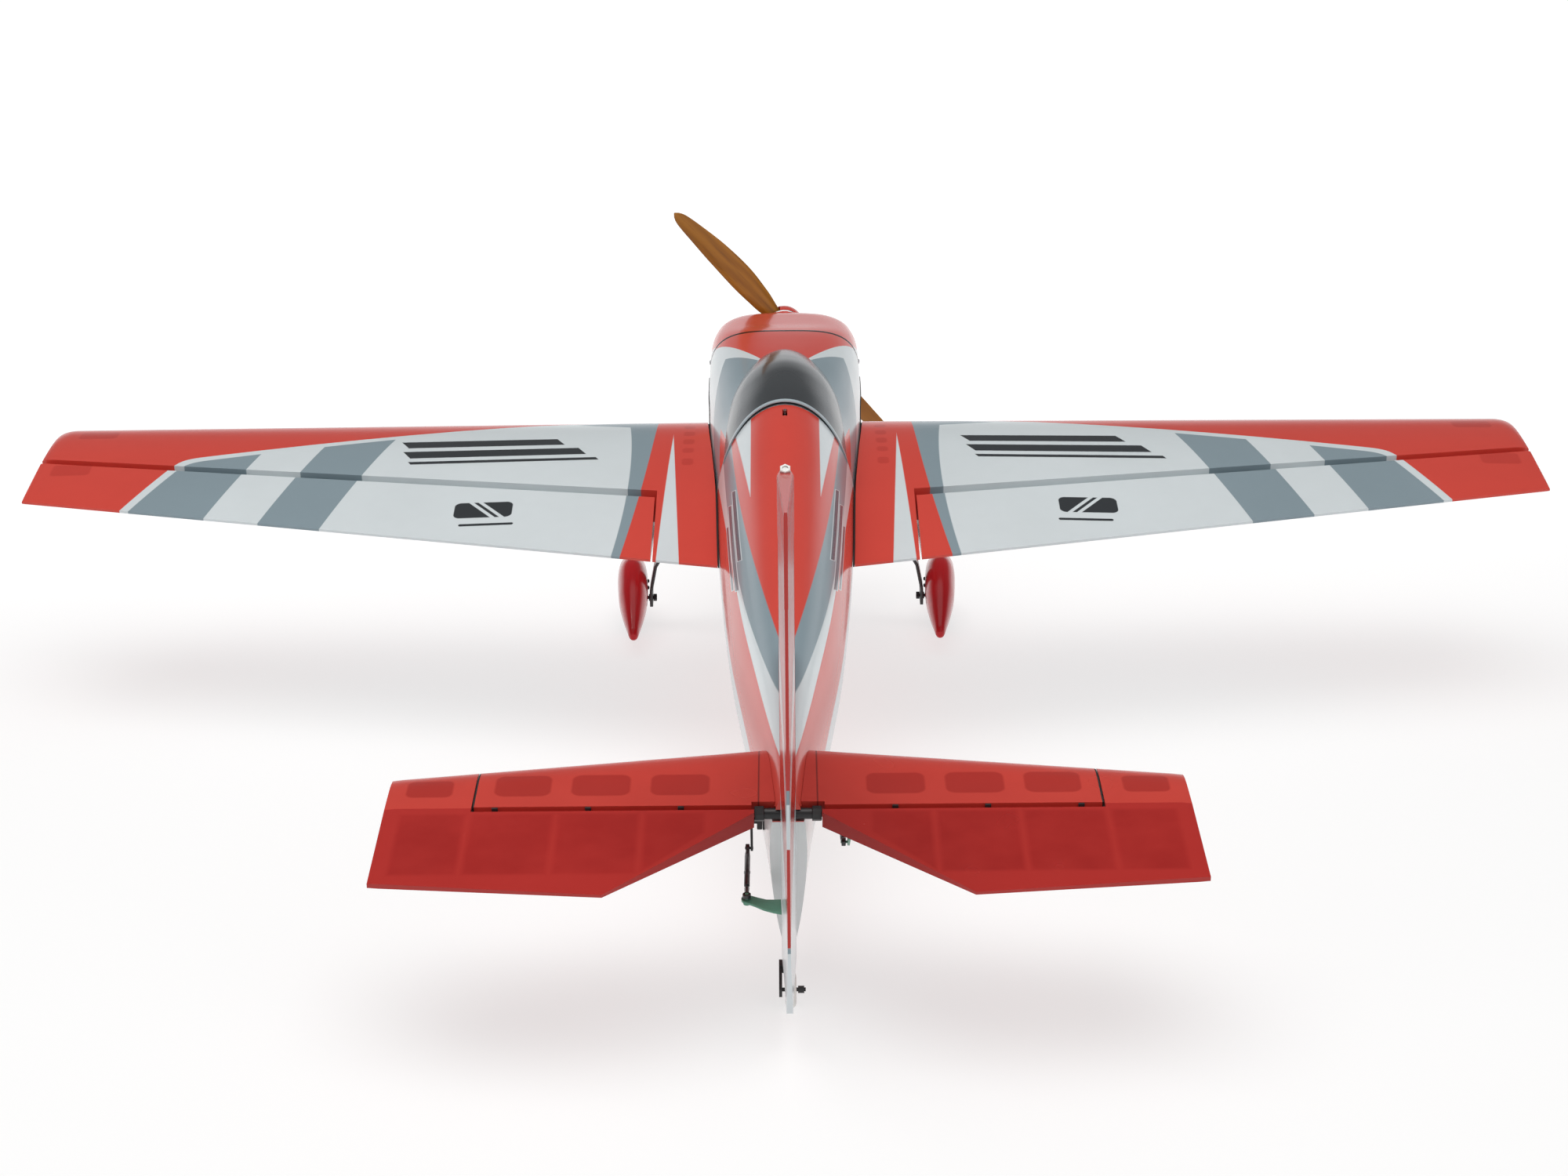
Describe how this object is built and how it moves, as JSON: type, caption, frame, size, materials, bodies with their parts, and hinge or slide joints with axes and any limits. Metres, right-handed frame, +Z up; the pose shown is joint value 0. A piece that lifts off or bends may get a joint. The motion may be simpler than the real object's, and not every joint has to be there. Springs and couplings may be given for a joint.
{
  "type": "radio-controlled aeroplane",
  "caption": "Low tail-dragger aerobatic model aeroplane with hinged control surfaces, push rods, wooden propeller, lift-off canopy hatch and faired wheels.",
  "frame": {"origin": "bottom centre of the bounding box, on the ground under the fuselage", "axes": "+X to port along the span, -Y towards the nose, +Z up; the aeroplane stands on its three wheels, so its long axis is nose-up by 8.5 degrees"},
  "size_m": [1.6, 1.4203, 0.4629],
  "materials": {
    "fuselage_film": "glossy covering film: red top, white and grey sides",
    "hatch_film": "glossy white, grey and red covering film",
    "wing_film": "glossy covering film, red edges and white, grey panels",
    "tail_film": "glossy red covering film over an open frame",
    "rudder_film": "glossy white film with red and grey edge bands",
    "cowl_paint": "glossy red painted moulding",
    "pant_paint": "glossy red painted moulding",
    "canopy_tint": "smoke grey clear moulding",
    "prop_wood": "varnished wood",
    "carbon": "satin black carbon fibre",
    "black_plastic": "black moulded plastic",
    "white_plastic": "white moulded plastic",
    "glass_epoxy": "green glass and epoxy board",
    "plywood": "bare plywood",
    "rubber": "black rubber",
    "steel": "plain steel",
    "aluminium": "machined aluminium",
    "battery_wrap": "blue shrink wrap"
  },
  "bodies": {
    "airframe": {"fuselage": "fuselage_film", "fin": "tail_film", "cowl": "cowl_paint", "firewall": "plywood", "motor_mount": "aluminium", "motor_stator": "aluminium", "wing_left": "wing_film", "wing_right": "wing_film", "wing_tube": "carbon", "stabilizer_left": "tail_film", "stabilizer_right": "tail_film", "stabilizer_tube": "carbon", "main_gear": "carbon", "axle_left": "steel", "axle_right": "steel", "wheel_pant_left": "pant_paint", "wheel_pant_right": "pant_paint", "tail_gear_leaf": "aluminium", "aileron_servo_left": "black_plastic", "aileron_servo_right": "black_plastic", "elevator_servo": "black_plastic", "rudder_servo": "black_plastic", "battery_tray": "plywood", "battery": "battery_wrap", "speed_controller": "black_plastic", "receiver": "white_plastic", "receiver_shelf": "plywood"},
    "propeller_unit": {"propeller": "prop_wood", "spinner": "cowl_paint", "spinner_backplate": "aluminium", "prop_nut": "steel", "motor_rotor": "black_plastic"},
    "hatch_unit": {"hatch": "hatch_film", "canopy": "canopy_tint"},
    "hatch_latch": {"hatch_latch": "steel"},
    "aileron_left": {"aileron_left": "wing_film", "aileron_horn_left": "glass_epoxy"},
    "aileron_right": {"aileron_right": "wing_film", "aileron_horn_right": "glass_epoxy"},
    "aileron_servo_arm_left": {"aileron_servo_arm_left": "black_plastic"},
    "aileron_servo_arm_right": {"aileron_servo_arm_right": "black_plastic"},
    "aileron_pushrod_left": {"aileron_pushrod_left": "carbon"},
    "aileron_pushrod_right": {"aileron_pushrod_right": "carbon"},
    "elevator": {"elevator_left": "tail_film", "elevator_right": "tail_film", "elevator_joiner": "black_plastic", "elevator_horn": "glass_epoxy"},
    "elevator_servo_arm": {"elevator_servo_arm": "black_plastic"},
    "elevator_pushrod": {"elevator_pushrod": "carbon"},
    "rudder": {"rudder": "rudder_film", "rudder_horn": "glass_epoxy", "rudder_top_nut": "white_plastic"},
    "rudder_servo_arm": {"rudder_servo_arm": "black_plastic"},
    "rudder_pushrod": {"rudder_pushrod": "carbon"},
    "wheel_left": {"wheel_left": "white_plastic", "tyre_left": "rubber"},
    "wheel_right": {"wheel_right": "white_plastic", "tyre_right": "rubber"},
    "tail_fork": {"tail_fork": "carbon"},
    "tail_wheel": {"tail_wheel": "rubber"}
  },
  "joints": [
    {"name": "propeller_spin", "type": "hinge", "parent": "airframe", "child": "propeller_unit", "pos_m": [0, -0.66912, 0.31528], "axis": [0, -0.9889, 0.1485], "continuous": true},
    {"name": "hatch_lift", "type": "slide", "parent": "airframe", "child": "hatch_unit", "axis": [0, 0.1485, 0.9889], "range_m": [0, 0.12]},
    {"name": "latch_slide", "type": "slide", "parent": "airframe", "child": "hatch_latch", "axis": [0, 0.9889, -0.1485], "range_m": [0, 0.008], "stiffness_N_per_m": 60},
    {"name": "aileron_left_hinge", "type": "hinge", "parent": "airframe", "child": "aileron_left", "pos_m": [0.135, -0.17803, 0.22538], "axis": [0.9857, -0.1664, 0.025], "range_deg": [-28, 28]},
    {"name": "aileron_right_hinge", "type": "hinge", "parent": "airframe", "child": "aileron_right", "pos_m": [-0.135, -0.17803, 0.22538], "axis": [0.9857, 0.1664, -0.025], "range_deg": [-28, 28]},
    {"name": "aileron_servo_left_turn", "type": "hinge", "parent": "airframe", "child": "aileron_servo_arm_left", "pos_m": [0.35296, -0.27686, 0.22758], "axis": [0.9857, -0.1664, 0.025], "range_deg": [-28, 28]},
    {"name": "aileron_rod_left_turn", "type": "hinge", "parent": "aileron_servo_arm_left", "child": "aileron_pushrod_left", "pos_m": [0.35631, -0.28136, 0.20145], "axis": [0.9857, -0.1664, 0.025], "range_deg": [-28, 28]},
    {"name": "aileron_servo_right_turn", "type": "hinge", "parent": "airframe", "child": "aileron_servo_arm_right", "pos_m": [-0.35296, -0.27686, 0.22758], "axis": [0.9857, 0.1664, -0.025], "range_deg": [-28, 28]},
    {"name": "aileron_rod_right_turn", "type": "hinge", "parent": "aileron_servo_arm_right", "child": "aileron_pushrod_right", "pos_m": [-0.35631, -0.28136, 0.20145], "axis": [0.9857, 0.1664, -0.025], "range_deg": [-28, 28]},
    {"name": "elevator_hinge", "type": "hinge", "parent": "airframe", "child": "elevator", "pos_m": [0, 0.52577, 0.16472], "axis": [1, 0, 0], "range_deg": [-28, 28]},
    {"name": "elevator_servo_turn", "type": "hinge", "parent": "airframe", "child": "elevator_servo_arm", "pos_m": [-0.0405, 0.44183, 0.14446], "axis": [1, 0, 0], "range_deg": [-28, 28]},
    {"name": "elevator_rod_turn", "type": "hinge", "parent": "elevator_servo_arm", "child": "elevator_pushrod", "pos_m": [-0.044, 0.43789, 0.11825], "axis": [1, 0, 0], "range_deg": [-28, 28]},
    {"name": "rudder_hinge", "type": "hinge", "parent": "airframe", "child": "rudder", "pos_m": [0, 0.51228, 0.03782], "axis": [0, 0.1485, 0.9889], "range_deg": [-28, 28]},
    {"name": "rudder_servo_turn", "type": "hinge", "parent": "airframe", "child": "rudder_servo_arm", "pos_m": [0.0301, 0.46517, 0.13489], "axis": [1, 0, 0], "range_deg": [-36, 36]},
    {"name": "rudder_rod_turn", "type": "hinge", "parent": "rudder_servo_arm", "child": "rudder_pushrod", "pos_m": [0.0336, 0.46123, 0.10868], "axis": [1, 0, 0], "range_deg": [-36, 36]},
    {"name": "wheel_left_spin", "type": "hinge", "parent": "airframe", "child": "wheel_left", "pos_m": [0.1786, -0.47667, 0.0345], "axis": [1, 0, 0], "continuous": true},
    {"name": "wheel_right_spin", "type": "hinge", "parent": "airframe", "child": "wheel_right", "pos_m": [-0.1786, -0.47667, 0.0345], "axis": [1, 0, 0], "continuous": true},
    {"name": "tail_fork_steer", "type": "hinge", "parent": "airframe", "child": "tail_fork", "pos_m": [0, 0.51099, 0.02587], "axis": [0, 0.1485, 0.9889], "range_deg": [-28, 28]},
    {"name": "tail_wheel_spin", "type": "hinge", "parent": "tail_fork", "child": "tail_wheel", "pos_m": [-0.001, 0.53153, 0.0145], "axis": [1, 0, 0], "continuous": true}
  ],
  "couplings": [
    {"joint": "aileron_right_hinge", "follows": "aileron_left_hinge", "ratio": -1},
    {"joint": "aileron_servo_left_turn", "follows": "aileron_left_hinge", "ratio": 1},
    {"joint": "aileron_rod_left_turn", "follows": "aileron_left_hinge", "ratio": -1},
    {"joint": "aileron_servo_right_turn", "follows": "aileron_left_hinge", "ratio": -1},
    {"joint": "aileron_rod_right_turn", "follows": "aileron_left_hinge", "ratio": 1},
    {"joint": "elevator_servo_turn", "follows": "elevator_hinge", "ratio": 1},
    {"joint": "elevator_rod_turn", "follows": "elevator_hinge", "ratio": -1},
    {"joint": "rudder_servo_turn", "follows": "rudder_hinge", "ratio": 1.268},
    {"joint": "rudder_rod_turn", "follows": "rudder_hinge", "ratio": -1.268},
    {"joint": "tail_fork_steer", "follows": "rudder_hinge", "ratio": 1}
  ]
}
